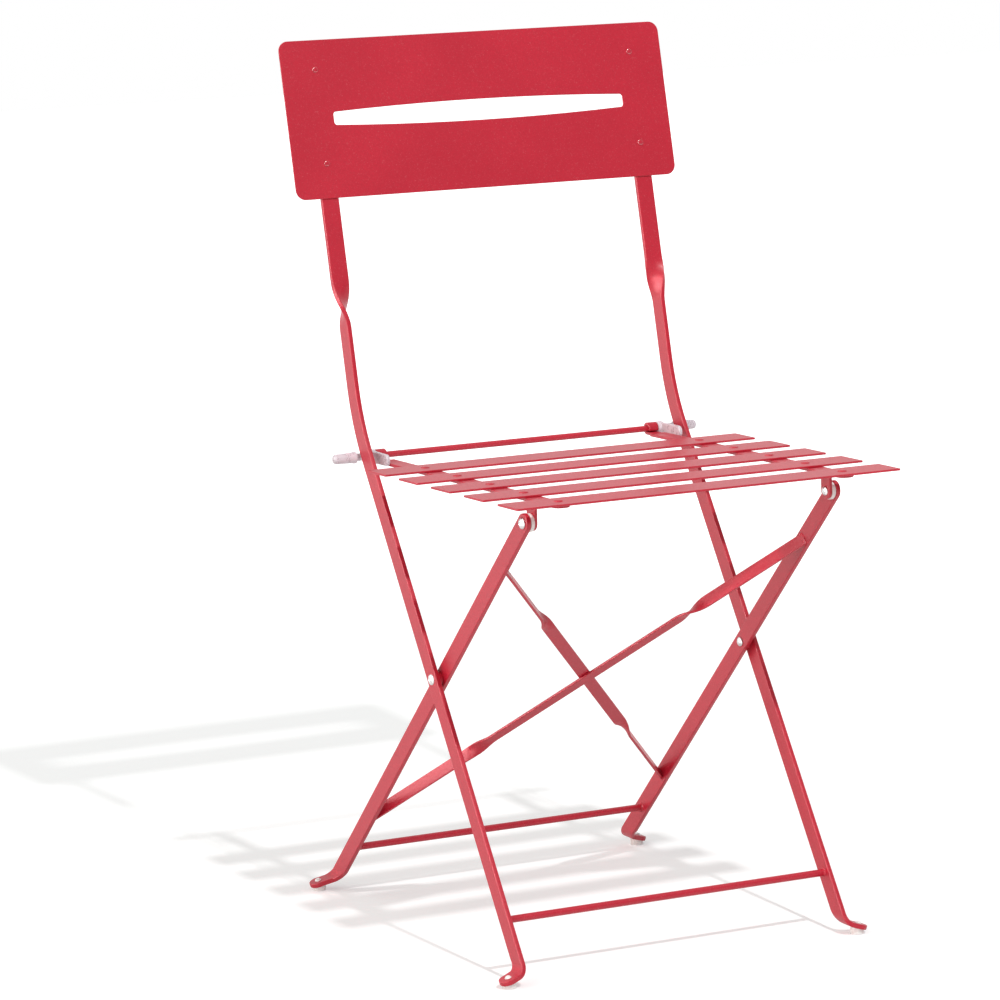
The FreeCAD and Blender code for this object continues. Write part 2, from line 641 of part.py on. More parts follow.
def make_glides(end, leg_side, y):
    """A pair of plastic glides: foot, stem through the leg's tab and button on top."""
    glides = []
    for side, sign in SIDES.items():
        upwards = Vector(sign * place("slope_down"), 0, place("slope_level"))
        reach = "%s + Sizes.%s_glide_reach" % (leg_side, end)
        spot = "%d * (%s)" % (sign, reach)
        over = "%d * (%s + Sizes.bar_thickness * Layout.slope_down)" % (sign, reach)
        tag = "%s_%s" % (end, side)
        column = cylinder("column_" + tag, Vector(0, 0, 1), "Sizes.glide_diameter / 2",
                          "Sizes.glide_height + Sizes.glide_diameter", (spot, y, "0"))
        below = cylinder("below_" + tag, -upwards, "Sizes.glide_diameter",
                         "2 * Sizes.glide_height + Sizes.glide_diameter",
                         (spot, y, "Sizes.glide_height"))
        stem = cylinder("stem_" + tag, upwards, "Sizes.glide_stem / 2", "Sizes.bar_thickness",
                        (spot, y, "Sizes.glide_height"))
        cap = cone("cap_" + tag, upwards, "Sizes.glide_cap / 2", "Sizes.glide_cap_tip / 2",
                   "Sizes.glide_cap_height",
                   (over, y, "Sizes.glide_height + Sizes.bar_thickness * Layout.slope_level"))
        pad = common("pad_" + tag, [column, below])
        glides.append(fuse("glide_" + tag, [pad, stem, cap]))
    keep(group(end + "_glide_group", glides), end + "_glides")


def make_pivot(name, sign, y, z, outer_face, inner_face, washer_from, washer_to, washer):
    """A pivot rivet along X with a head at each end, and the washer on it.

    outer_face and inner_face are where the heads start, and washer_from and
    washer_to are the washer's faces, all measured out from the middle plane.
    washer is how wide the washer is.
    """
    toward = Vector(sign, 0, 0)

    def ring(label, radius, begin, end):
        return cylinder(label + name, toward, radius, "(%s) - (%s)" % (end, begin),
                        ("%d * (%s)" % (sign, begin), y, z))

    shank = ring("shank_", "Sizes.pivot_shank / 2", inner_face, outer_face)
    head = ring("head_", "Sizes.pivot_head / 2", outer_face,
                outer_face + " + Sizes.pivot_head_height")
    tail = ring("tail_", "Sizes.pivot_tail / 2", inner_face + " - Sizes.pivot_head_height",
                inner_face)
    keep(fuse("rivet_" + name, [shank, head, tail]), name + "_rivet")
    disc = ring("disc_", washer + " / 2", washer_from, washer_to)
    bore = ring("bore_", "Sizes.pivot_shank / 2 + Sizes.pivot_fit",
                washer_from + " - 1", washer_to + " + 1")
    keep(cut("washer_" + name, disc, bore), name + "_washer")


def make_pivots():
    """The middle pivots stay with the long bars, the seat pivots with the seat."""
    half = "Sizes.bar_thickness / 2"
    for side, sign in SIDES.items():
        make_pivot(side + "_middle_pivot", sign, "Layout.middle_pivot_y",
                   "Sizes.middle_pivot_height",
                   "Sizes.long_leg_side + " + half,
                   "Layout.short_leg_side - %s - Sizes.pivot_play" % half,
                   "Layout.short_leg_side + %s + Sizes.pivot_play" % half,
                   "Sizes.long_leg_side - " + half, "Sizes.middle_washer")
        make_pivot(side + "_seat_pivot", sign, "Layout.front_pivot_y",
                   "Layout.front_pivot_height",
                   "Layout.short_leg_side + %s + Sizes.pivot_play" % half,
                   "Layout.bracket_side - Sizes.bracket_thickness / 2",
                   "Layout.bracket_side + Sizes.bracket_thickness / 2",
                   "Layout.short_leg_side - %s - Sizes.pivot_play" % half,
                   "Sizes.seat_washer")


def slat_middle(number):
    """Middle of a slat behind the seat pivot, as a formula. Number 0 is the front one."""
    return "(%d * Sizes.slat_pitch - Sizes.slat_front + Sizes.slat_width / 2)" % number


def rivet_hole(name, sign, number):
    """A hole through a slat and its rail."""
    return cylinder(name, Vector(0, 0, 1), "Sizes.slat_rivet_shank / 2 + Sizes.rivet_fit",
                    "4 * (Sizes.slat_thickness + Sizes.rail_thickness)",
                    ("%d * Layout.rail_side" % sign, slat_middle(number),
                     "Layout.rail_top - 2 * (Sizes.slat_thickness + Sizes.rail_thickness)"))


def make_slats():
    """Five flat slats, square ended, each with a rivet hole over each rail."""
    for number in range(SLAT_COUNT):
        flat = box("slat_flat_%d" % number, "Layout.slat_length", "Sizes.slat_width",
                   "Sizes.slat_thickness",
                   ("-Layout.slat_length / 2",
                    slat_middle(number) + " - Sizes.slat_width / 2", "Layout.rail_top"))
        cornered = round_edges("slat_corners_%d" % number, flat, size("slat_corner"),
                               lambda edge: along(edge, Vector(0, 0, 1)))
        holes = group("slat_holes_%d" % number,
                      [rivet_hole("slat_hole_%d_%s" % (number, side), sign, number)
                       for side, sign in SIDES.items()])
        keep(on_seat(cut("slat_%d" % number, cornered, holes)), "seat_slat_%d" % (number + 1))


def make_slat_rivets():
    """Ten rivets through slats and rails, with a low wide head on each face."""
    rivets = []
    deep = "(Sizes.slat_thickness + Sizes.rail_thickness)"
    for number in range(SLAT_COUNT):
        for side, sign in SIDES.items():
            tag = "%d_%s" % (number, side)
            across = "%d * Layout.rail_side" % sign
            low = "(Layout.rail_top - Sizes.rail_thickness)"
            shank = cylinder("slat_shank_" + tag, Vector(0, 0, 1), "Sizes.slat_rivet_shank / 2",
                             deep, (across, slat_middle(number), low))
            head = cylinder("slat_head_" + tag, Vector(0, 0, 1), "Sizes.slat_rivet_head / 2",
                            "Sizes.rivet_head_height",
                            (across, slat_middle(number), "Layout.seat_top"))
            tail = cylinder("slat_tail_" + tag, Vector(0, 0, 1), "Sizes.slat_rivet_head / 2",
                            "Sizes.rivet_head_height",
                            (across, slat_middle(number), low + " - Sizes.rivet_head_height"))
            rivets.append(fuse("slat_rivet_" + tag, [shank, head, tail]))
    keep(on_seat(group("slat_rivet_group", rivets)), "slat_rivets")


def rail_form(sign):
    """A flat rail under the slats, rolled at its rear end into an eye round the rod."""
    thick = size("rail_thickness")
    top = place("rail_top")
    back = place("rod_behind")
    start = size("rail_front_inset") - size("slat_front")
    inner = size("rod_diameter") / 2 + size("rod_fit")
    outer = inner + thick
    hub = Vector(0, back, place("rod_above"))
    turn = math.radians(size("eye_roll_angle"))

    def spoke(radius, angle):
        return hub + Vector(0, radius * math.sin(angle), -radius * math.cos(angle))

    outline = [
        Part.makeLine(Vector(0, start, top), spoke(inner, 0)),
        Part.Arc(spoke(inner, 0), spoke(inner, turn / 2), spoke(inner, turn)).toShape(),
        Part.makeLine(spoke(inner, turn), spoke(outer, turn)),
        Part.Arc(spoke(outer, turn), spoke(outer, turn / 2), spoke(outer, 0)).toShape(),
        Part.makeLine(spoke(outer, 0), Vector(0, start, top - thick)),
        Part.makeLine(Vector(0, start, top - thick), Vector(0, start, top)),
    ]
    width = size("rail_width")
    wire = Part.Wire(outline)
    wire.translate(Vector(sign * place("rail_side") - width / 2, 0, 0))
    rail = Part.Face(wire).extrude(Vector(width, 0, 0))
    nose = [edge for edge in rail.Edges
            if along(edge, Vector(0, 0, 1)) and abs(edge.CenterOfMass.y - start) < thick]
    rail = rail.makeFillet(0.45 * width, nose)
    for out, spare in ((-1, size("eye_inner_inset")), (1, size("eye_outer_inset"))):
        waist = Part.makeBox(spare, 2 * size("eye_shoulder"), 4 * outer)
        edge = place("rail_side") + out * (width - spare) / 2
        waist.translate(Vector(sign * edge - spare / 2,
                               back - size("eye_shoulder"), hub.z - 2 * outer))
        rail = rail.cut(waist)
    for number in range(SLAT_COUNT):
        middle = number * size("slat_pitch") - size("slat_front") + size("slat_width") / 2
        radius = size("slat_rivet_shank") / 2 + size("rivet_fit")
        bore = Part.makeCylinder(radius, 4 * thick,
                                 Vector(sign * place("rail_side"), middle, top - 2 * thick))
        rail = rail.cut(bore)
    return rail


def make_rails():
    """A rail under each end of the slats."""
    for side, sign in SIDES.items():
        on_seat(shaped(side + "_seat_rail", rail_form(sign)))


def make_brackets():
    """Plates that hang from the rails and carry the seat pivots."""
    for side, sign in SIDES.items():
        low = "%d * Layout.bracket_side - Sizes.bracket_thickness / 2" % sign
        hanger = box("hanger_" + side, "Sizes.bracket_thickness", "Sizes.bracket_width",
                     "Layout.rail_top - Sizes.rail_thickness",
                     (low, "-Sizes.bracket_width / 2", "0"))
        lobe = cylinder("lobe_" + side, Vector(1, 0, 0), "Sizes.bracket_width / 2",
                        "Sizes.bracket_thickness", (low, "0", "0"))
        bore = cylinder("bracket_bore_" + side, Vector(1, 0, 0),
                        "Sizes.pivot_shank / 2 + Sizes.pivot_fit",
                        "3 * Sizes.bracket_thickness",
                        (low + " - Sizes.bracket_thickness", "0", "0"))
        plate = fuse("plate_" + side, [hanger, lobe])
        keep(on_seat(cut("bracket_" + side, plate, bore)), side + "_seat_bracket")


def make_rear_rod():
    """The cross rod in the rolled eyes, and the clear plastic on its ends."""
    keep(rod_across("cross_rod", "Sizes.rod_diameter / 2", "Layout.rod_reach",
                    "Layout.rod_y", "Layout.rod_height"), "rear_cross_rod")
    for side, sign in SIDES.items():
        toward = Vector(sign, 0, 0)
        y = "Layout.rod_behind"
        z = "Layout.rod_above"
        begin = "(Sizes.long_leg_side + Sizes.bar_thickness / 2 + Sizes.sleeve_play)"
        inner = "(Layout.rail_side + Sizes.rail_width / 2 + Sizes.cheek_play)"
        outside = "(%s + Sizes.cheek_thickness)" % inner
        eye = "(Layout.rail_side + Sizes.rail_width / 2 - Sizes.eye_outer_inset)"
        body = cone("sleeve_body_" + side, toward, "Sizes.sleeve_diameter / 2",
                    "Sizes.sleeve_tip / 2",
                    "Layout.rod_reach + Sizes.sleeve_end_wall - " + begin,
                    ("%d * %s" % (sign, begin), y, z))
        nosed = round_edges("sleeve_nose_" + side, body, size("sleeve_nose"),
                            lambda edge: abs(edge.CenterOfMass.x) > place("rod_reach"))
        neck = cylinder("sleeve_neck_" + side, toward, "Sizes.sleeve_neck / 2",
                        "%s - %s - Sizes.hub_play + Sizes.sleeve_nose" % (begin, outside),
                        ("%d * (%s + Sizes.hub_play)" % (sign, outside), y, z))
        bore = cylinder("sleeve_bore_" + side, toward, "Sizes.rod_diameter / 2 + Sizes.rod_fit",
                        "Layout.rod_reach + Sizes.rod_fit",
                        ("0", y, z))
        sleeve = cut("sleeve_" + side, fuse("sleeve_solid_" + side, [nosed, neck]), bore)
        keep(on_seat(sleeve), side + "_rod_sleeve")
        lowest = "%d * %s" % (sign, inner) if sign > 0 else "-" + outside
        arm = box("cheek_arm_" + side, "Sizes.cheek_thickness", "Sizes.cheek_reach",
                  "Sizes.cheek_height",
                  (lowest, y + " - Sizes.cheek_reach", z + " - Sizes.cheek_height / 2"))
        front = cylinder("cheek_front_" + side, Vector(1, 0, 0), "Sizes.cheek_height / 2",
                         "Sizes.cheek_thickness", (lowest, y + " - Sizes.cheek_reach", z))
        hub = cylinder("cheek_hub_" + side, toward, "Sizes.cheek_hub / 2",
                       "%s - %s - Sizes.hub_play" % (outside, eye),
                       ("%d * (%s + Sizes.hub_play)" % (sign, eye), y, z))
        hole = cylinder("cheek_hole_" + side, toward, "Sizes.rod_diameter / 2 + Sizes.rod_fit",
                        "2 * Layout.rod_reach", ("0", y, z))
        cheek = cut("cheek_" + side, fuse("cheek_plate_" + side, [arm, front, hub]), hole)
        keep(on_seat(cheek), side + "_rod_cheek")


def write_parts():
    """Check every piece and write each to its own file."""
    doc.recompute()
    for thing in doc.Objects:
        if "Invalid" in thing.State or "Error" in thing.State:
            raise RuntimeError("%s failed: %s" % (thing.Name, thing.State))
    os.makedirs("parts", exist_ok=True)
    for node in NODES:
        shape = node.Shape
        if shape.isNull() or not shape.isValid() or shape.Volume <= 0:
            raise RuntimeError("%s has no sound shape" % node.Label)
        shape.exportStep("parts/%s.step" % node.Label)
        print("%-26s solids %d volume %.0f" % (node.Label, len(shape.Solids), shape.Volume))
    print("middle pivot y", place("middle_pivot_y"))


for side_name, side_sign in SIDES.items():
    shaped(side_name + "_post_leg", long_bar(side_sign))
    shaped(side_name + "_rear_leg", short_bar(side_sign))
make_backrest()
make_back_rivets()
make_stretchers()
shaped("rising_brace", brace(1, 1, size("rising_brace_upper")))
shaped("falling_brace", brace(-1, -1, size("falling_brace_upper")))
make_glides("front", "Sizes.long_leg_side",
            "Layout.middle_pivot_y - Layout.front_glide_run")
make_glides("rear", "Layout.short_leg_side",
            "Layout.middle_pivot_y + Layout.rear_glide_run")
make_pivots()
make_rails()
make_slats()
make_slat_rivets()
make_brackets()
make_rear_rod()
write_parts()
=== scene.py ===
import math

import bmesh
import bpy
from bpy.props import FloatProperty, FloatVectorProperty, IntProperty, PointerProperty
from mathutils import Matrix, Vector, noise


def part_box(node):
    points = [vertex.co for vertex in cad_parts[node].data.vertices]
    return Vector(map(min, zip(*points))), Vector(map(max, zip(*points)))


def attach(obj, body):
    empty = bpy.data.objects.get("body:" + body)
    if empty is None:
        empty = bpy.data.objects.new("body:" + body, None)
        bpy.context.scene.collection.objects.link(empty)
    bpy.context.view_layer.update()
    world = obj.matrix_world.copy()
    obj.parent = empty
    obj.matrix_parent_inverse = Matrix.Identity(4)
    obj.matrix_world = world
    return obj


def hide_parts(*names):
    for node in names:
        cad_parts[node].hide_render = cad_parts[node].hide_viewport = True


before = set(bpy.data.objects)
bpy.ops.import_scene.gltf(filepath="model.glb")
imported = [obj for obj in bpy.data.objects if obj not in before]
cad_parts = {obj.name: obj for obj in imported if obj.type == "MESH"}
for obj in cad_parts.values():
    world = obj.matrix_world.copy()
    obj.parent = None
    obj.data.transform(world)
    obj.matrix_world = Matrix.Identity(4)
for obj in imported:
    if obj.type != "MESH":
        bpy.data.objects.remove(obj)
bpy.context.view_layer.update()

bl_info = {
    "name": "Metal Bistro Chair",
    "version": (1, 0, 0),
    "blender": (4, 5, 0),
    "location": "3D View > Sidebar > Bistro Chair",
    "description": "Powder coat, rivets, welds, glides and clear plastic of a folding bistro chair",
    "category": "Object",
}

BACK, REAR, SEAT = "back_frame", "rear_leg_frame", "seat"
SIDES = {"left": -1, "right": 1}
POST_LEAN = math.radians(13.8)
SEAT_SLOPE = math.radians(1.5)
FLUSH = 1e-5
WHITE = (1.0, 1.0, 1.0, 1.0)


class ChairSizes(bpy.types.PropertyGroup):
    """Small forms that the metalwork gets in paint and assembly."""

    bar_edge: FloatProperty(
        name="Bar edge", description="Rounding of the flat bar's rolled edges",
        default=0.0008, min=0.0001, max=0.0015, unit="LENGTH")
    sheet_edge: FloatProperty(
        name="Sheet edge", description="Rounding of the sheet and slat edges under the coat",
        default=0.00035, min=0.0001, max=0.0007, unit="LENGTH")
    plastic_edge: FloatProperty(
        name="Plastic edge", description="Rounding of the moulded cheeks and glides",
        default=0.0009, min=0.0001, max=0.0015, unit="LENGTH")
    edge_steps: IntProperty(
        name="Edge steps", description="Facets across a rounded edge", default=3, min=1, max=6)
    weld_reach: FloatProperty(
        name="Weld reach", description="How far a weld bead spreads from a rod or brace",
        default=0.0012, min=0.0005, max=0.004, unit="LENGTH")
    turn_steps: IntProperty(
        name="Turn steps", description="Facets round a rivet, rod or sleeve",
        default=40, min=12, max=96)


class ChairColours(bpy.types.PropertyGroup):
    """Finishes, each close to what the photograph shows."""

    paint: FloatVectorProperty(
        name="Powder coat", description="Red of the powder coat", subtype="COLOR",
        size=3, default=(0.510, 0.011, 0.032), min=0.0, max=1.0)
    steel: FloatVectorProperty(
        name="Rivet steel", description="Bare steel of the pivot rivets", subtype="COLOR",
        size=3, default=(0.72, 0.71, 0.70), min=0.0, max=1.0)
    washer: FloatVectorProperty(
        name="Washers", description="Plastic of the seat pivots' washers", subtype="COLOR",
        size=3, default=(0.82, 0.78, 0.76), min=0.0, max=1.0)
    glide: FloatVectorProperty(
        name="Glides", description="Milky plastic of the glides", subtype="COLOR",
        size=3, default=(0.95, 0.93, 0.92), min=0.0, max=1.0)
    clear: FloatVectorProperty(
        name="Clear plastic", description="Soft clear plastic on the cross rod", subtype="COLOR",
        size=3, default=(0.82, 0.74, 0.80), min=0.0, max=1.0)


class ChairStage(bpy.types.PropertyGroup):
    """Light and floor round the chair."""

    key_power: FloatProperty(
        name="Key lamp", description="Power of the lamp high before the chair",
        default=132.0, min=0.0, max=1000.0, unit="POWER")
    sky: FloatProperty(
        name="Surround", description="Light of the white studio from every side",
        default=0.42, min=0.0, max=2.0)
    left_sky: FloatProperty(
        name="Window side", description="More light from the side on the left of the picture",
        default=1.25, min=0.0, max=4.0)
    front_gloss: FloatProperty(
        name="Front in gloss", description="How bright the room before the chair is in gloss",
        default=0.22, min=0.0, max=1.0)
    left_gloss: FloatProperty(
        name="Window in gloss", description="How bright the light on the left is in gloss",
        default=9.0, min=0.0, max=30.0)
    floor_size: FloatProperty(
        name="Floor", description="Side of the floor", default=16.0, min=1.0, max=60.0,
        unit="LENGTH")


class Shade:
    """A shader socket that adds Math nodes when it is reckoned with."""

    def __init__(self, tree, socket):
        self.tree = tree
        self.socket = socket

    def math(self, operation, first, second):
        """A Math node of two numbers or sockets."""
        return add_node(self.tree, "ShaderNodeMath", {"operation": operation},
                        {0: first, 1: second})

    def __add__(self, other):
        return self.math("ADD", self, other)

    def __radd__(self, other):
        return self.math("ADD", other, self)

    def __rsub__(self, other):
        return self.math("SUBTRACT", other, self)

    def __mul__(self, other):
        return self.math("MULTIPLY", self, other)

    def __rmul__(self, other):
        return self.math("MULTIPLY", other, self)


def fill(tree, sockets, values):
    """Link the varying values to their sockets and set the constant ones."""
    for key, value in values.items():
        if isinstance(value, Shade):
            tree.links.new(value.socket, sockets[key])
        else:
            sockets[key].default_value = value


def add_node(tree, kind, settings, inputs, output=0):
    """Any node: its settings first, then the values or links of its sockets."""
    made = tree.nodes.new(kind)
    for key, value in settings.items():
        setattr(made, key, value)
    fill(tree, made.inputs, inputs)
    return Shade(tree, made.outputs[output]) if output is not None else None


def ramp(tree, value, dark, light):
    """0 below dark, 1 above light and a soft step between."""
    return add_node(tree, "ShaderNodeMapRange", {"interpolation_type": "SMOOTHSTEP"},
                    {"Value": value, "From Min": dark, "From Max": light})


def tint(tree, amount, first, second):
    """A colour between two."""
    return add_node(tree, "ShaderNodeMix", {"data_type": "RGBA"},
                    {0: amount, 6: first, 7: second}, 2)


def grain(tree, spot, scale, detail, roughness=0.5):
    """Noise with so many grains to the metre."""
    return add_node(tree, "ShaderNodeTexNoise", {},
                    {"Vector": spot, "Scale": scale, "Detail": detail, "Roughness": roughness})


def bump(tree, height, depth, strength, before=None):
    """A bump of a depth in metres, on top of another."""
    inputs = {"Height": height, "Distance": depth, "Strength": strength}
    if before is not None:
        inputs["Normal"] = before
    return add_node(tree, "ShaderNodeBump", {}, inputs)


def new_material(name):
    """An empty node material, its Principled shader and the place of the surface."""
    made = bpy.data.materials.new(name)
    made.use_nodes = True
    tree = made.node_tree
    spot = add_node(tree, "ShaderNodeTexCoord", {}, {}, "Object")
    return made, tree, tree.nodes["Principled BSDF"], spot


def seen_ray(tree):
    """1 for rays of the camera, of gloss and through clear plastic."""
    path = tree.nodes.new("ShaderNodeLightPath")
    seen = [Shade(tree, path.outputs[kind])
            for kind in ("Is Camera Ray", "Is Glossy Ray", "Is Transmission Ray")]
    return add_node(tree, "ShaderNodeClamp", {}, {"Value": seen[0] + seen[1] + seen[2]})


def darker(colour, part):
    """The same hue at a part of its brightness."""
    return tuple(part * channel for channel in colour[:3]) + (1.0,)


def paler(colour, part):
    """The colour moved part of the way to white."""
    return tuple(channel + part * (1.0 - channel) for channel in colour[:3]) + (1.0,)


def paint_material(name, gloss=0.0):
    """Satin powder coat: orange peel, flecks of the grain, slight changes of depth."""
    colours = bpy.context.scene.chair_colours
    made, tree, shader, spot = new_material(name)
    red = tuple(colours.paint)
    cloud = grain(tree, spot, 11.0, 3.0)
    peel = grain(tree, spot, 560.0, 2.0)
    fleck = ramp(tree, grain(tree, spot, 830.0, 2.0, 0.7), 0.57, 0.74)
    speck = grain(tree, spot, 2100.0, 2.0, 0.6)
    body = tint(tree, ramp(tree, cloud, 0.32, 0.70), darker(red, 0.95), darker(red, 1.04))
    grained = tint(tree, ramp(tree, peel, 0.30, 0.72) * 0.5, body, darker(red, 0.82))
    flecked = tint(tree, fleck * 0.55, grained, paler(red, 0.10))
    rough = 0.29 - gloss + 0.06 * cloud + 0.14 * peel + 0.05 * fleck
    soft = bump(tree, peel, 0.00010, 0.45)
    fine = bump(tree, speck, 0.00003, 0.35, soft)
    fill(tree, shader.inputs, {"Base Color": flecked, "Roughness": rough, "Normal": fine,
                               "Specular IOR Level": 0.52})
    return made


def rivet_paint_material(name):
    """The same coat, glossier on the backrest's small rivet heads."""
    made = paint_material(name, gloss=0.18)
    tree = made.node_tree
    fill(tree, tree.nodes["Principled BSDF"].inputs,
         {"Coat Weight": 1.0, "Coat Roughness": 0.16, "Coat IOR": 1.6})
    return made


def steel_material(name):
    """Bare rivet steel with the marks of the setting tool and a little dullness."""
    colours = bpy.context.scene.chair_colours
    made, tree, shader, spot = new_material(name)
    steel = tuple(colours.steel)
    dull = grain(tree, spot, 420.0, 3.0)
    marks = grain(tree, spot, 1700.0, 2.0, 0.6)
    shown = tint(tree, ramp(tree, dull, 0.35, 0.70), darker(steel, 0.78), darker(steel, 1.12))
    fill(tree, shader.inputs, {
        "Base Color": shown,
        "Roughness": 0.22 + 0.20 * dull + 0.08 * marks,
        "Normal": bump(tree, marks, 0.00003, 0.35),
        "Metallic": 1.0,
    })
    return made


def washer_material(name):
    """Matte moulded washers."""
    colours = bpy.context.scene.chair_colours
    made, tree, shader, spot = new_material(name)
    base = tuple(colours.washer)
    cloud = grain(tree, spot, 300.0, 2.0)
    fill(tree, shader.inputs, {
        "Base Color": tint(tree, cloud, darker(base, 0.85), darker(base, 1.15)),
        "Roughness": 0.50 + 0.15 * cloud,
        "Normal": bump(tree, cloud, 0.00003, 0.2),
    })
    return made


def glide_material(name):
    """Milky plastic with scuffs."""
    colours = bpy.context.scene.chair_colours
    made, tree, shader, spot = new_material(name)
    base = tuple(colours.glide)
    cloud = grain(tree, spot, 240.0, 3.0)
    scuff = ramp(tree, grain(tree, spot, 900.0, 3.0, 0.65), 0.52, 0.68)
    fill(tree, shader.inputs, {
        "Base Color": tint(tree, scuff * 0.5, darker(base, 1.0), darker(base, 0.82)),
        "Roughness": 0.30 + 0.12 * cloud + 0.20 * scuff,
        "Normal": bump(tree, scuff, 0.00003, 0.3),
        "Transmission Weight": 0.08,
        "IOR": 1.48,
    })
    return made


def clear_material(name):
    """Soft milky plastic, cloudy where it is thick and slightly rubbed."""
    colours = bpy.context.scene.chair_colours
    made, tree, shader, spot = new_material(name)
    base = tuple(colours.clear)
    cloud = grain(tree, spot, 140.0, 3.0)
    rub = ramp(tree, grain(tree, spot, 620.0, 3.0, 0.65), 0.45, 0.70)
    cloudy = ramp(tree, cloud, 0.35, 0.65)
    fill(tree, shader.inputs, {
        "Base Color": tint(tree, cloudy, darker(base, 0.95), paler(base, 0.12)),
        "Roughness": 0.20 + 0.16 * cloud + 0.18 * rub,
        "Normal": bump(tree, cloud + 0.3 * rub, 0.0002, 0.4),
        "Transmission Weight": 0.25,
        "IOR": 1.43,
    })
    return made


FINISHES = {
    "red_paint": ("red_powder_coat", paint_material),
    "red_rivets": ("red_rivet_coat", rivet_paint_material),
    "rivet_steel": ("peened_steel", steel_material),
    "washer_plastic": ("pale_washer_plastic", washer_material),
    "glide_plastic": ("milky_glide_plastic", glide_material),
    "clear_plastic": ("soft_clear_plastic", clear_material),
}


def finish_for(finish):
    """The material of a finish, made once."""
    name, make = FINISHES[finish]
    return bpy.data.materials.get(name) or make(name)


def corners(node):
    """The lowest and the highest corner of a CAD node."""
    return [Vector(corner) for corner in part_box(node)]


def lying(node):
    """Centre, half length and radius of a round CAD node that lies along X."""
    low, high = corners(node)
    return (low + high) / 2, (high.x - low.x) / 2, (high.z - low.z) / 2


def merged_copy(node):
    """A mesh of its own from a CAD node, its loose triangles joined to whole faces."""
    form = bmesh.new()
    form.from_mesh(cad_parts[node].data)
    bmesh.ops.remove_doubles(form, verts=form.verts, dist=1e-6)
    bmesh.ops.dissolve_limit(form, angle_limit=math.radians(0.4), use_dissolve_boundaries=False,
                             verts=form.verts, edges=form.edges, delimit=set())
    return form


def round_off(form, radius, steps, turn=32.0):
    """Round every edge that turns by more than so many degrees."""
    sharp = [edge for edge in form.edges
             if len(edge.link_faces) == 2 and edge.calc_face_angle(0.0) > math.radians(turn)]
    bmesh.ops.bevel(form, geom=sharp, offset=radius, offset_type="OFFSET", segments=steps,
                    profile=0.5, affect="EDGES", clamp_overlap=False, material=-1)
    return form


def join(into, *others):
    """Put other meshes into one."""
    for other in others:
        mesh = bpy.data.meshes.new("spare")
        other.to_mesh(mesh)
        other.free()
        into.from_mesh(mesh)
        bpy.data.meshes.remove(mesh)


def turned(profile, centre, axis, closed=False):
    """A turned shape from (radius, along the axis) points, closed on the axis or as a ring."""
    steps = bpy.context.scene.chair_sizes.turn_steps
    form = bmesh.new()
    verts = [form.verts.new((radius, 0.0, along)) for radius, along in profile]
    pairs = list(zip(verts, verts[1:]))
    if closed:
        pairs.append((verts[-1], verts[0]))
    edges = [form.edges.new(pair) for pair in pairs]
    bmesh.ops.spin(form, geom=verts + edges, cent=(0, 0, 0), axis=(0, 0, 1),
                   angle=math.tau, steps=steps, use_merge=True)
    bmesh.ops.remove_doubles(form, verts=form.verts, dist=1e-7)
    bmesh.ops.recalc_face_normals(form, faces=form.faces)
    turn = Vector((0, 0, 1)).rotation_difference(Vector(axis)).to_matrix().to_4x4()
    bmesh.ops.transform(form, matrix=Matrix.Translation(centre) @ turn, verts=form.verts)
    return form


def dome(radius, height, steps=6):
    """Points of a low rivet head from its rim to its crown."""
    rim = 0.22 * height
    rise = height - rim
    points = [(radius, 0.0), (radius, rim)]
    for step in range(1, steps + 1):
        angle = 0.5 * math.pi * step / steps
        points.append((radius * math.cos(angle), rim + rise * math.sin(angle)))
    return points


def centres(node):
    """The centre of each separate solid of a CAD node, always in the same order."""
    form = merged_copy(node)
    left = set(form.verts)
    found = []
    while left:
        wave = [left.pop()]
        seen = list(wave)
        while wave:
            vert = wave.pop()
            for edge in vert.link_edges:
                other = edge.other_vert(vert)
                if other in left:
                    left.remove(other)
                    wave.append(other)
                    seen.append(other)
        low = Vector(min(vert.co[i] for vert in seen) for i in range(3))
        high = Vector(max(vert.co[i] for vert in seen) for i in range(3))
        found.append((low + high) / 2)
    form.free()
    return sorted(found, key=lambda centre: tuple(round(c, 4) for c in centre))


def rivet_heads(node, out, radius, height, sunk, grip):
    """A domed head on both ends of each rivet of a CAD node, whose axes point out."""
    form = bmesh.new()
    for centre in centres(node):
        for way in (1, -1):
            join(form, turned([(0.0, -sunk), (radius, -sunk)] + dome(radius, height),
                              centre + way * grip * out, way * out))
    return form


def show(form, name, body, slot, nodes, crease=38.0, finish=None):
    """Make a piece of a mesh: smooth faces, finish, body and the CAD nodes it stands for."""
    mesh = bpy.data.meshes.new(name)
    form.to_mesh(mesh)
    form.free()
    mesh.polygons.foreach_set("use_smooth", [True] * len(mesh.polygons))
    mesh.set_sharp_from_angle(angle=math.radians(crease))
    piece = bpy.data.objects.new(name, mesh)
    bpy.context.scene.collection.objects.link(piece)
    piece.data.materials.append(finish_for(finish or slot))
    even = piece.modifiers.new("Even normals", "WEIGHTED_NORMAL")
    even.weight = 80
    even.keep_sharp = True
    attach(piece, body)
    if nodes:
        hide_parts(*nodes)
    return piece


def soften(node, body, radius, steps, slot="red_paint"):
    """A CAD node with its edges rounded as paint or moulding leaves them."""
    form = round_off(merged_copy(node), radius, steps)
    return show(form, node + "_coated", body, slot, [node])


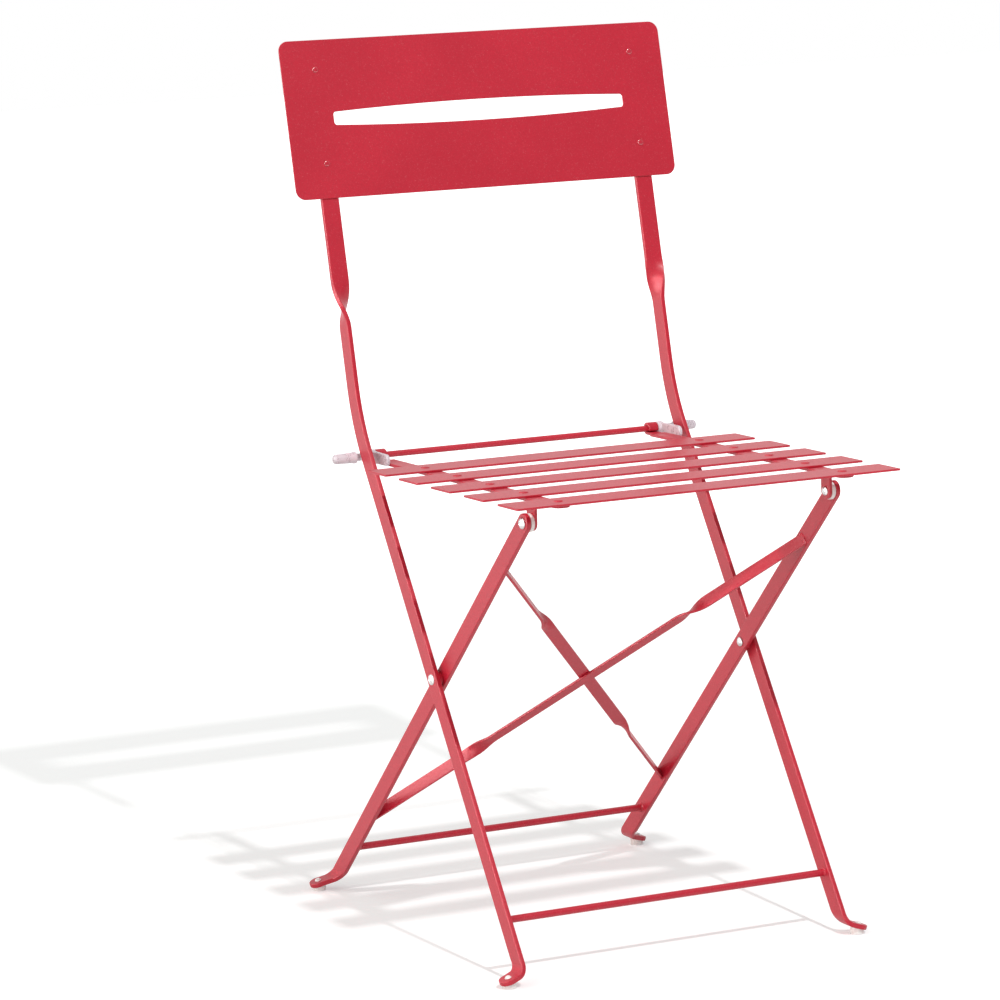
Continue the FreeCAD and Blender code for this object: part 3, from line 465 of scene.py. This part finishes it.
def end_of(node, sign):
    """Centre, long direction and half sizes of a bar's end face on one side."""
    form = merged_copy(node)
    reach = max(sign * vert.co.x for vert in form.verts)
    rim = [vert.co.copy() for vert in form.verts if sign * vert.co.x > reach - FLUSH]
    form.free()
    centre = sum(rim, Vector()) / len(rim)
    farthest = max(rim, key=lambda spot: (spot - centre).length)
    mates = sorted(rim, key=lambda spot: (spot - farthest).length)
    near = mates[1]
    long_side = mates[2] - farthest
    return centre, long_side.normalized(), long_side.length / 2, (near - farthest).length / 2


def lumpy(form, depth, scale, fixed=None):
    """Push the points of a bead in and out a little."""
    for vert in form.verts:
        if fixed is None or not fixed(vert.co):
            vert.co += vert.normal * depth * noise.noise(vert.co * scale)


class CHAIR_OT_backrest(bpy.types.Operator):
    """The slotted backrest sheet"""

    bl_idname = "chair.backrest"
    bl_label = "Backrest sheet"

    def execute(self, context):
        sizes = context.scene.chair_sizes
        soften("backrest_panel", BACK, sizes.sheet_edge, sizes.edge_steps)
        return {"FINISHED"}


class CHAIR_OT_back_rivets(bpy.types.Operator):
    """Four painted rivets that hold the backrest sheet to the posts"""

    bl_idname = "chair.back_rivets"
    bl_label = "Backrest rivets"

    def execute(self, context):
        front = Vector((0.0, -math.cos(POST_LEAN), math.sin(POST_LEAN)))
        form = rivet_heads("back_rivets", front, radius=0.0030, height=0.0012, sunk=0.0012,
                           grip=0.0030)
        show(form, "back_rivet_heads", BACK, "red_paint", ["back_rivets"], finish="red_rivets")
        return {"FINISHED"}


class CHAIR_OT_long_bars(bpy.types.Operator):
    """The two long bars: front leg and back post in one, twisted above the seat"""

    bl_idname = "chair.long_bars"
    bl_label = "Long bars"

    def execute(self, context):
        sizes = context.scene.chair_sizes
        for side in SIDES:
            soften(side + "_post_leg", BACK, sizes.bar_edge, sizes.edge_steps)
        return {"FINISHED"}


class CHAIR_OT_short_bars(bpy.types.Operator):
    """The two short bars that are the rear legs and carry the seat"""

    bl_idname = "chair.short_bars"
    bl_label = "Short bars"

    def execute(self, context):
        sizes = context.scene.chair_sizes
        for side in SIDES:
            soften(side + "_rear_leg", REAR, sizes.bar_edge, sizes.edge_steps)
        return {"FINISHED"}


class CHAIR_OT_stretchers(bpy.types.Operator):
    """Round rods between the legs, with the weld beads at their ends"""

    bl_idname = "chair.stretchers"
    bl_label = "Stretchers"

    def execute(self, context):
        reach = context.scene.chair_sizes.weld_reach
        inset = 0.0004
        for node, body in (("front_stretcher", BACK), ("rear_stretcher", REAR)):
            middle, half, radius = lying(node)
            rod = turned([(0.0, -half), (radius, -half), (radius, half), (0.0, half)],
                         middle, (1, 0, 0))
            show(rod, node + "_rod", body, "red_paint", [node])
            beads = bmesh.new()
            for sign in (-1, 1):
                spot = Vector((middle.x + sign * half, middle.y, middle.z))
                outline = [(radius - inset, 0.0), (radius + reach, 0.0),
                           (radius + 0.75 * reach, 0.35 * reach),
                           (radius + 0.30 * reach, 0.80 * reach),
                           (radius + 0.06 * reach, 1.45 * reach),
                           (radius - inset, 1.5 * reach)]
                bead = turned(outline, spot, (-sign, 0, 0), closed=True)
                bead.normal_update()
                lumpy(bead, depth=0.0006, scale=900.0,
                      fixed=lambda place: abs(place.x - spot.x) < FLUSH)
                join(beads, bead)
            show(beads, node + "_welds", body, "red_paint", [])
        return {"FINISHED"}


class CHAIR_OT_braces(bpy.types.Operator):
    """The two crossed braces, twisted near each end, with their weld beads"""

    bl_idname = "chair.braces"
    bl_label = "Braces"

    def execute(self, context):
        sizes = context.scene.chair_sizes
        reach = sizes.weld_reach
        for node in ("rising_brace", "falling_brace"):
            soften(node, REAR, 0.7 * sizes.bar_edge, sizes.edge_steps)
            beads = bmesh.new()
            for sign in (-1, 1):
                centre, along, half_long, half_thin = end_of(node, sign)
                out = Vector((sign, 0, 0))
                bead = bmesh.new()
                bmesh.ops.create_uvsphere(bead, u_segments=28, v_segments=16, radius=1.0)
                across = out.cross(along).normalized()
                turn = Matrix((along, across, out)).transposed().to_4x4()
                stretch = Matrix.Diagonal((half_long + 0.8 * reach, half_thin + 0.9 * reach,
                                           1.2 * reach, 1.0))
                bmesh.ops.transform(bead, matrix=Matrix.Translation(centre) @ turn @ stretch,
                                    verts=bead.verts)
                bead.normal_update()
                lumpy(bead, depth=0.0005, scale=700.0)
                geom = bead.verts[:] + bead.edges[:] + bead.faces[:]
                cutting = bmesh.ops.bisect_plane(bead, geom=geom, plane_co=centre,
                                                 plane_no=out, clear_outer=True)
                rim = [item for item in cutting["geom_cut"]
                       if isinstance(item, bmesh.types.BMEdge)]
                bmesh.ops.edgeloop_fill(bead, edges=rim)
                bmesh.ops.recalc_face_normals(bead, faces=bead.faces)
                join(beads, bead)
            show(beads, node + "_welds", REAR, "red_paint", [])
        return {"FINISHED"}


class CHAIR_OT_glides(bpy.types.Operator):
    """Four moulded glides: a foot below the leg's tab and a domed button on top"""

    bl_idname = "chair.glides"
    bl_label = "Glides"

    def execute(self, context):
        sizes = context.scene.chair_sizes
        for node, body in (("front_glides", BACK), ("rear_glides", REAR)):
            soften(node, body, 0.8 * sizes.plastic_edge, sizes.edge_steps, "glide_plastic")
        return {"FINISHED"}


class CHAIR_OT_pivots(bpy.types.Operator):
    """Four bare steel pivot rivets with peened heads, and their washers"""

    bl_idname = "chair.pivots"
    bl_label = "Pivots"

    def execute(self, context):
        sizes = context.scene.chair_sizes
        height, head, tail, shank = 0.0022, 0.00525, 0.0045, 0.0035
        for side, sign in SIDES.items():
            for place, body in (("middle", BACK), ("seat", SEAT)):
                node = "%s_%s_pivot_rivet" % (side, place)
                middle, half, _ = lying(node)
                outline = [
                    (0.0, half - 0.25 * height), (0.18 * head, half - 0.22 * height),
                    (0.30 * head, half - 0.02 * height), (0.42 * head, half),
                    (0.66 * head, half - 0.12 * height), (0.86 * head, half - 0.38 * height),
                    (0.97 * head, half - 0.70 * height), (head, half - 0.85 * height),
                    (head, half - height), (shank, half - height),
                    (shank, -half + height), (tail, -half + height),
                    (tail, -half + 0.80 * height), (0.90 * tail, -half + 0.45 * height),
                    (0.68 * tail, -half + 0.15 * height), (0.38 * tail, -half),
                    (0.0, -half)]
                rivet = turned(outline, middle, (sign, 0, 0))
                show(rivet, node + "_set", body, "rivet_steel", [node], crease=50.0)
                washer = "%s_%s_pivot_washer" % (side, place)
                slot = "washer_plastic" if place == "seat" else "red_paint"
                soften(washer, body, 0.4 * sizes.bar_edge, 2, slot)
        return {"FINISHED"}


class CHAIR_OT_slats(bpy.types.Operator):
    """Five flat seat slats"""

    bl_idname = "chair.slats"
    bl_label = "Seat slats"

    def execute(self, context):
        sizes = context.scene.chair_sizes
        for number in range(1, 6):
            soften("seat_slat_%d" % number, SEAT, 1.3 * sizes.sheet_edge, sizes.edge_steps)
        return {"FINISHED"}


class CHAIR_OT_slat_rivets(bpy.types.Operator):
    """Ten painted rivets that hold the slats to the rails"""

    bl_idname = "chair.slat_rivets"
    bl_label = "Slat rivets"

    def execute(self, context):
        up = Vector((0.0, math.sin(SEAT_SLOPE), math.cos(SEAT_SLOPE)))
        form = rivet_heads("slat_rivets", up, radius=0.00425, height=0.0012, sunk=0.0015,
                           grip=0.0025)
        show(form, "slat_rivet_heads", SEAT, "red_paint", ["slat_rivets"])
        return {"FINISHED"}


class CHAIR_OT_rails(bpy.types.Operator):
    """The seat rails, rolled round the cross rod, and the brackets that hang from them"""

    bl_idname = "chair.rails"
    bl_label = "Seat rails and brackets"

    def execute(self, context):
        sizes = context.scene.chair_sizes
        for side in SIDES:
            soften(side + "_seat_rail", SEAT, 0.8 * sizes.bar_edge, sizes.edge_steps)
            soften(side + "_seat_bracket", SEAT, 0.8 * sizes.bar_edge, sizes.edge_steps)
        return {"FINISHED"}


class CHAIR_OT_cross_rod(bpy.types.Operator):
    """The cross rod behind the posts"""

    bl_idname = "chair.cross_rod"
    bl_label = "Cross rod"

    def execute(self, context):
        middle, half, radius = lying("rear_cross_rod")
        bevel = 0.0006
        rod = turned([(0.0, -half), (radius - bevel, -half), (radius, -half + bevel),
                      (radius, half - bevel), (radius - bevel, half), (0.0, half)],
                     middle, (1, 0, 0))
        show(rod, "cross_rod", SEAT, "red_paint", ["rear_cross_rod"])
        return {"FINISHED"}


class CHAIR_OT_clear_plastic(bpy.types.Operator):
    """Clear sleeves on the rod's ends and clear cheeks beside the rails"""

    bl_idname = "chair.clear_plastic"
    bl_label = "Clear plastic"

    def execute(self, context):
        sizes = context.scene.chair_sizes
        neck, collar, fit = 0.00365, 0.17475, 0.00005
        rod_low, rod_high = corners("rear_cross_rod")
        bore = (rod_high.z - rod_low.z) / 2 + fit
        blind = rod_high.x + fit
        for side, sign in SIDES.items():
            node = side + "_rod_sleeve"
            low, high = corners(node)
            near, far = sorted((abs(low.x), abs(high.x)))
            hub = Vector((0.0, (low.y + high.y) / 2, (low.z + high.z) / 2))
            outer = (high.z - low.z) / 2
            tip = 0.80 * outer
            outline = [
                (0.0, blind), (bore, blind), (bore, near), (neck - 0.0002, near),
                (neck, near + 0.0002), (neck, collar), (outer - 0.0008, collar),
                (outer - 0.0002, collar + 0.0002), (outer, collar + 0.0008),
                (outer - 0.0001, collar + 0.0030), (outer - 0.0005, collar + 0.0035),
                (tip + 0.0001, far - 0.0030), (tip - 0.0002, far - 0.0017),
                (tip - 0.0009, far - 0.0006), (tip - 0.0020, far), (0.0, far)]
            sleeve = turned(outline, hub, (sign, 0, 0))
            show(sleeve, node + "_moulded", SEAT, "clear_plastic", [node])
            soften(side + "_rod_cheek", SEAT, sizes.plastic_edge, sizes.edge_steps,
                   "clear_plastic")
        return {"FINISHED"}


class CHAIR_OT_stage(bpy.types.Operator):
    """Floor, white surround, lamp and the camera of the photograph"""

    bl_idname = "chair.stage"
    bl_label = "Stage"

    def execute(self, context):
        self.floor(context)
        self.surround(context)
        self.lamp(context)
        self.camera(context)
        context.scene.view_settings.view_transform = "Standard"
        return {"FINISHED"}

    def floor(self, context):
        """A white floor that keeps the soft shadow, lightened with painted light."""
        form = bmesh.new()
        bmesh.ops.create_grid(form, x_segments=1, y_segments=1,
                              size=context.scene.chair_stage.floor_size / 2)
        mesh = bpy.data.meshes.new("studio_floor")
        form.to_mesh(mesh)
        form.free()
        floor = bpy.data.objects.new("studio_floor", mesh)
        context.scene.collection.objects.link(floor)
        made = bpy.data.materials.new("studio_floor_white")
        made.use_nodes = True
        tree = made.node_tree
        tree.nodes.clear()
        spot = add_node(tree, "ShaderNodeTexCoord", {}, {}, "Object")
        away = add_node(tree, "ShaderNodeVectorMath", {"operation": "LENGTH"}, {0: spot}, 1)
        # Painted light: the glow whitens the floor and lightens the chair's shadow, a little more
        # under the backrest's shadow, and plain white well past the chair; its slightly cool tint
        # evens out the red in the shadow.
        painted_light_strength = 0.32 + 0.08 * ramp(tree, away, 0.45, 0.85) + 0.5 * ramp(tree, away, 1.3, 2.6)
        plain = add_node(tree, "ShaderNodeBsdfDiffuse", {}, {"Color": (0.80, 0.80, 0.80, 1.0)})
        # Painted light on the floor, seen by camera, gloss and transmission rays only.
        painted_floor_light = add_node(tree, "ShaderNodeEmission", {},
                        {"Color": (0.93, 1.0, 1.01, 1.0), "Strength": painted_light_strength})
        lit = add_node(tree, "ShaderNodeAddShader", {}, {0: plain, 1: painted_floor_light})
        mixed = add_node(tree, "ShaderNodeMixShader", {}, {0: seen_ray(tree), 1: plain, 2: lit})
        add_node(tree, "ShaderNodeOutputMaterial", {}, {"Surface": mixed}, None)
        floor.data.materials.append(made)

    def surround(self, context):
        """White to the camera. In gloss, the backdrop, a darker room and a bright window."""
        world = bpy.data.worlds.new("studio_surround")
        context.scene.world = world
        world.use_nodes = True
        tree = world.node_tree
        tree.nodes.clear()
        stage = context.scene.chair_stage
        toward = add_node(tree, "ShaderNodeTexCoord", {}, {}, "Generated")
        aside = add_node(tree, "ShaderNodeSeparateXYZ", {}, {"Vector": toward}, "X")
        ahead = add_node(tree, "ShaderNodeSeparateXYZ", {}, {"Vector": toward}, "Y")
        left = -1.0 * aside
        window = ramp(tree, left, 0.1, 0.95)
        light = add_node(tree, "ShaderNodeBackground", {},
                         {"Color": tint(tree, window, WHITE, (1.0, 0.90, 0.83, 1.0)),
                          "Strength": stage.sky + stage.left_sky * window})
        path = tree.nodes.new("ShaderNodeLightPath")
        camera_ray = Shade(tree, path.outputs["Is Camera Ray"])
        behind = ramp(tree, ahead, -0.75, 0.25)
        gloss = (stage.front_gloss + (1.0 - stage.front_gloss) * behind
                 + stage.left_gloss * ramp(tree, left, 0.72, 0.82))
        white = add_node(tree, "ShaderNodeBackground", {},
                         {"Color": WHITE,
                          "Strength": camera_ray + (1.0 - camera_ray) * gloss})
        mixed = add_node(tree, "ShaderNodeMixShader", {}, {0: seen_ray(tree), 1: light, 2: white})
        add_node(tree, "ShaderNodeOutputWorld", {}, {"Surface": mixed}, None)

    def lamp(self, context):
        """One lamp high before the chair, where the slats' shadow shows it."""
        spot = Vector((0.0, -3.0, 4.4))
        target = Vector((0.0, 0.0, 0.40))
        data = bpy.data.lights.new("key_lamp", "AREA")
        data.energy = context.scene.chair_stage.key_power
        data.shape = "SQUARE"
        data.size = 0.16
        lamp = bpy.data.objects.new("key_lamp", data)
        context.scene.collection.objects.link(lamp)
        aim = (target - spot).to_track_quat("-Z", "Y")
        lamp.matrix_world = Matrix.Translation(spot) @ aim.to_matrix().to_4x4()

    def camera(self, context):
        """The camera solved on the photograph."""
        place = Vector((-2.1948, -3.9795, 1.2054))
        turn, rise, roll = -0.48601, 0.173971, -0.0137674
        right = Vector((math.cos(turn), math.sin(turn), 0.0))
        back = Vector((math.sin(turn) * math.cos(rise), -math.cos(turn) * math.cos(rise),
                       math.sin(rise)))
        above = back.cross(right)
        across = math.cos(roll) * right + math.sin(roll) * above
        upward = -math.sin(roll) * right + math.cos(roll) * above
        data = bpy.data.cameras.new("photograph_camera")
        data.sensor_width = 36.0
        data.lens = 175.84
        data.clip_end = 100.0
        camera = bpy.data.objects.new("photograph_camera", data)
        context.scene.collection.objects.link(camera)
        camera.matrix_world = (Matrix.Translation(place)
                               @ Matrix((across, upward, back)).transposed().to_4x4())
        context.scene.camera = camera


STEPS = (
    CHAIR_OT_stage, CHAIR_OT_backrest, CHAIR_OT_back_rivets, CHAIR_OT_long_bars,
    CHAIR_OT_short_bars, CHAIR_OT_stretchers, CHAIR_OT_braces, CHAIR_OT_glides,
    CHAIR_OT_pivots, CHAIR_OT_slats, CHAIR_OT_slat_rivets, CHAIR_OT_rails,
    CHAIR_OT_cross_rod, CHAIR_OT_clear_plastic,
)


class CHAIR_PT_panel(bpy.types.Panel):
    """Lists the chair's sizes, colours and steps"""

    bl_idname = "CHAIR_PT_panel"
    bl_label = "Bistro Chair"
    bl_space_type = "VIEW_3D"
    bl_region_type = "UI"
    bl_category = "Bistro Chair"

    def draw(self, context):
        for group in (context.scene.chair_sizes, context.scene.chair_colours,
                      context.scene.chair_stage):
            column = self.layout.column(align=True)
            for key in group.__annotations__:
                column.prop(group, key)
        for step in STEPS:
            self.layout.operator(step.bl_idname)


CLASSES = (ChairSizes, ChairColours, ChairStage) + STEPS + (CHAIR_PT_panel,)
GROUPS = {"chair_sizes": ChairSizes, "chair_colours": ChairColours, "chair_stage": ChairStage}


def register():
    for made in CLASSES:
        bpy.utils.register_class(made)
    for name, group in GROUPS.items():
        setattr(bpy.types.Scene, name, PointerProperty(type=group))


def unregister():
    for name in GROUPS:
        delattr(bpy.types.Scene, name)
    for made in reversed(CLASSES):
        bpy.utils.unregister_class(made)


def main():
    register()
    bpy.ops.chair.stage()
    bpy.ops.chair.backrest()
    bpy.ops.chair.back_rivets()
    bpy.ops.chair.long_bars()
    bpy.ops.chair.short_bars()
    bpy.ops.chair.stretchers()
    bpy.ops.chair.braces()
    bpy.ops.chair.glides()
    bpy.ops.chair.pivots()
    bpy.ops.chair.slats()
    bpy.ops.chair.slat_rivets()
    bpy.ops.chair.rails()
    bpy.ops.chair.cross_rod()
    bpy.ops.chair.clear_plastic()


if __name__ == "__main__":
    main()
